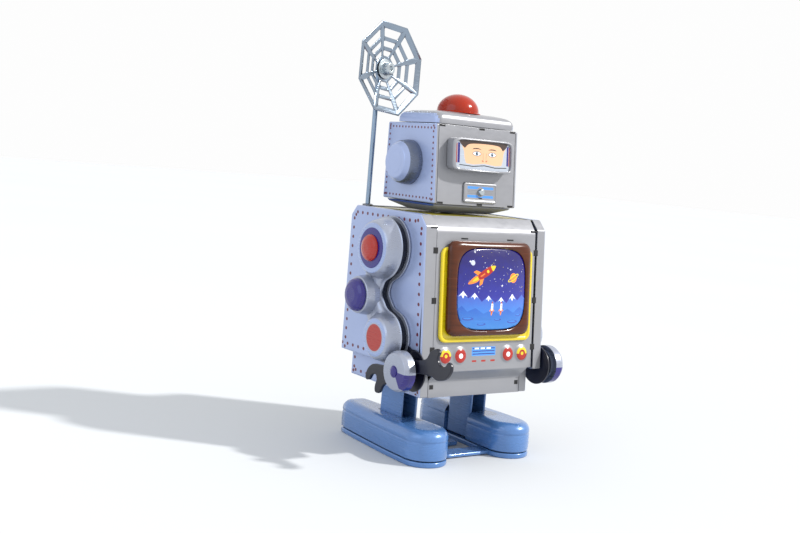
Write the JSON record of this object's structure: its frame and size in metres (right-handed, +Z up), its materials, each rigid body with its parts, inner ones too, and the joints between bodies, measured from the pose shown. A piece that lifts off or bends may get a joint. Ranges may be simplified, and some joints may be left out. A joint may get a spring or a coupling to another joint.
{
  "type": "wind up tin robot toy",
  "caption": "Walking clockwork tin robot with a box body, television chest, turning head, dish antenna, swinging clawed arms and broad blue feet.",
  "frame": {"origin": "on the floor, under the centre of the bounding box", "axes": "+Z up, the toy faces -Y, its right arm is towards -X and its left arm towards +X"},
  "size_m": [0.089, 0.0824, 0.1713],
  "materials": {
    "tin_silver": "satin",
    "tin_blue_silver": "satin",
    "tin_yellow": "gloss",
    "tin_olive": "satin",
    "tin_blue": "gloss",
    "tin_dark": "gloss",
    "brown_plastic": "gloss",
    "printed_screen": "gloss",
    "printed_face": "gloss",
    "lamp_red": "gloss",
    "dome_red": "gloss",
    "dome_violet": "gloss",
    "bright_tin": "polished",
    "steel": "plain",
    "brass": "plain"
  },
  "bodies": {
    "body_frame": {"antenna_bush": "bright_tin", "back_panel": "tin_silver", "base_plate": "tin_dark", "front_panel": "tin_silver", "front_pillar": "steel", "hip_axle": "steel", "left_frame_plate": "steel", "left_side_panel": "tin_blue_silver", "mainspring": "steel", "rear_pillar": "steel", "right_frame_plate": "steel", "right_side_panel": "tin_blue_silver", "top_plate": "tin_olive", "tv_bezel": "brown_plastic", "tv_screen": "printed_screen", "yellow_surround": "tin_yellow"},
    "head": {"head_front": "tin_silver", "head_back": "tin_silver", "head_right_side": "tin_blue_silver", "head_left_side": "tin_blue_silver", "head_cap": "tin_silver", "head_underside": "tin_dark", "neck_pivot": "steel", "lamp": "lamp_red", "right_ear": "tin_blue_silver", "left_ear": "tin_blue_silver", "visor_frame": "tin_silver", "face_plate": "printed_face", "chin_badge": "printed_face"},
    "antenna": {"antenna_rod": "bright_tin", "dish": "bright_tin", "dish_hub": "bright_tin"},
    "right_leg_assembly": {"right_leg": "tin_blue", "right_foot": "tin_blue", "right_sole": "tin_blue"},
    "left_leg_assembly": {"left_leg": "tin_blue", "left_foot": "tin_blue", "left_sole": "tin_blue"},
    "right_arm_assembly": {"right_arm_shell": "tin_silver", "right_arm_back_plate": "tin_dark", "right_shoulder_pivot": "steel", "right_shoulder_dome": "dome_red", "right_elbow_dome": "dome_violet", "right_hand": "tin_silver", "right_front_claw": "tin_dark", "right_rear_claw": "tin_dark"},
    "left_arm_assembly": {"left_arm_shell": "tin_silver", "left_arm_back_plate": "tin_dark", "left_shoulder_pivot": "steel", "left_shoulder_dome": "dome_red", "left_elbow_dome": "dome_violet", "left_hand": "tin_silver", "left_rear_claw": "tin_dark"},
    "winding_train": {"winding_arbor": "steel", "main_gear": "brass", "winding_key": "bright_tin"},
    "crank": {"crank_shaft": "brass"},
    "speed_governor": {"governor": "steel"}
  },
  "joints": [
    {"name": "neck_swivel", "type": "hinge", "parent": "body_frame", "child": "head", "pos_m": [0, 0.0139, 0.1], "axis": [0, 0, 1], "range_deg": [-25, 25]},
    {"name": "antenna_spin", "type": "hinge", "parent": "body_frame", "child": "antenna", "pos_m": [-0.025, 0.035, 0.1515], "axis": [0, 0, 1], "continuous": true},
    {"name": "right_stride", "type": "hinge", "parent": "body_frame", "child": "right_leg_assembly", "pos_m": [0, 0.01175, 0.041], "axis": [1, 0, 0], "range_deg": [-4, 4]},
    {"name": "left_stride", "type": "hinge", "parent": "body_frame", "child": "left_leg_assembly", "pos_m": [0, 0.01175, 0.041], "axis": [1, 0, 0], "range_deg": [-4.2, 4.2]},
    {"name": "right_arm_swing", "type": "hinge", "parent": "body_frame", "child": "right_arm_assembly", "pos_m": [-0.0308, 0.007, 0.0812], "axis": [1, 0, 0], "range_deg": [-10.5, 10.5]},
    {"name": "left_arm_swing", "type": "hinge", "parent": "body_frame", "child": "left_arm_assembly", "pos_m": [0.0308, 0.007, 0.0812], "axis": [1, 0, 0], "range_deg": [-10.5, 10.5]},
    {"name": "winding", "type": "hinge", "parent": "body_frame", "child": "winding_train", "pos_m": [0, 0.026, 0.045], "axis": [1, 0, 0], "continuous": true},
    {"name": "crank_turn", "type": "hinge", "parent": "body_frame", "child": "crank", "pos_m": [0, 0.014, 0.05181], "axis": [1, 0, 0], "continuous": true},
    {"name": "governor_turn", "type": "hinge", "parent": "body_frame", "child": "speed_governor", "pos_m": [0, 0.00449, 0.0549], "axis": [1, 0, 0], "continuous": true}
  ],
  "couplings": [
    {"joint": "left_stride", "follows": "right_stride", "ratio": -1},
    {"joint": "right_arm_swing", "follows": "right_stride", "ratio": -2.5},
    {"joint": "left_arm_swing", "follows": "right_stride", "ratio": 2.5},
    {"joint": "crank_turn", "follows": "winding", "ratio": -3.6},
    {"joint": "governor_turn", "follows": "winding", "ratio": 10.8}
  ]
}
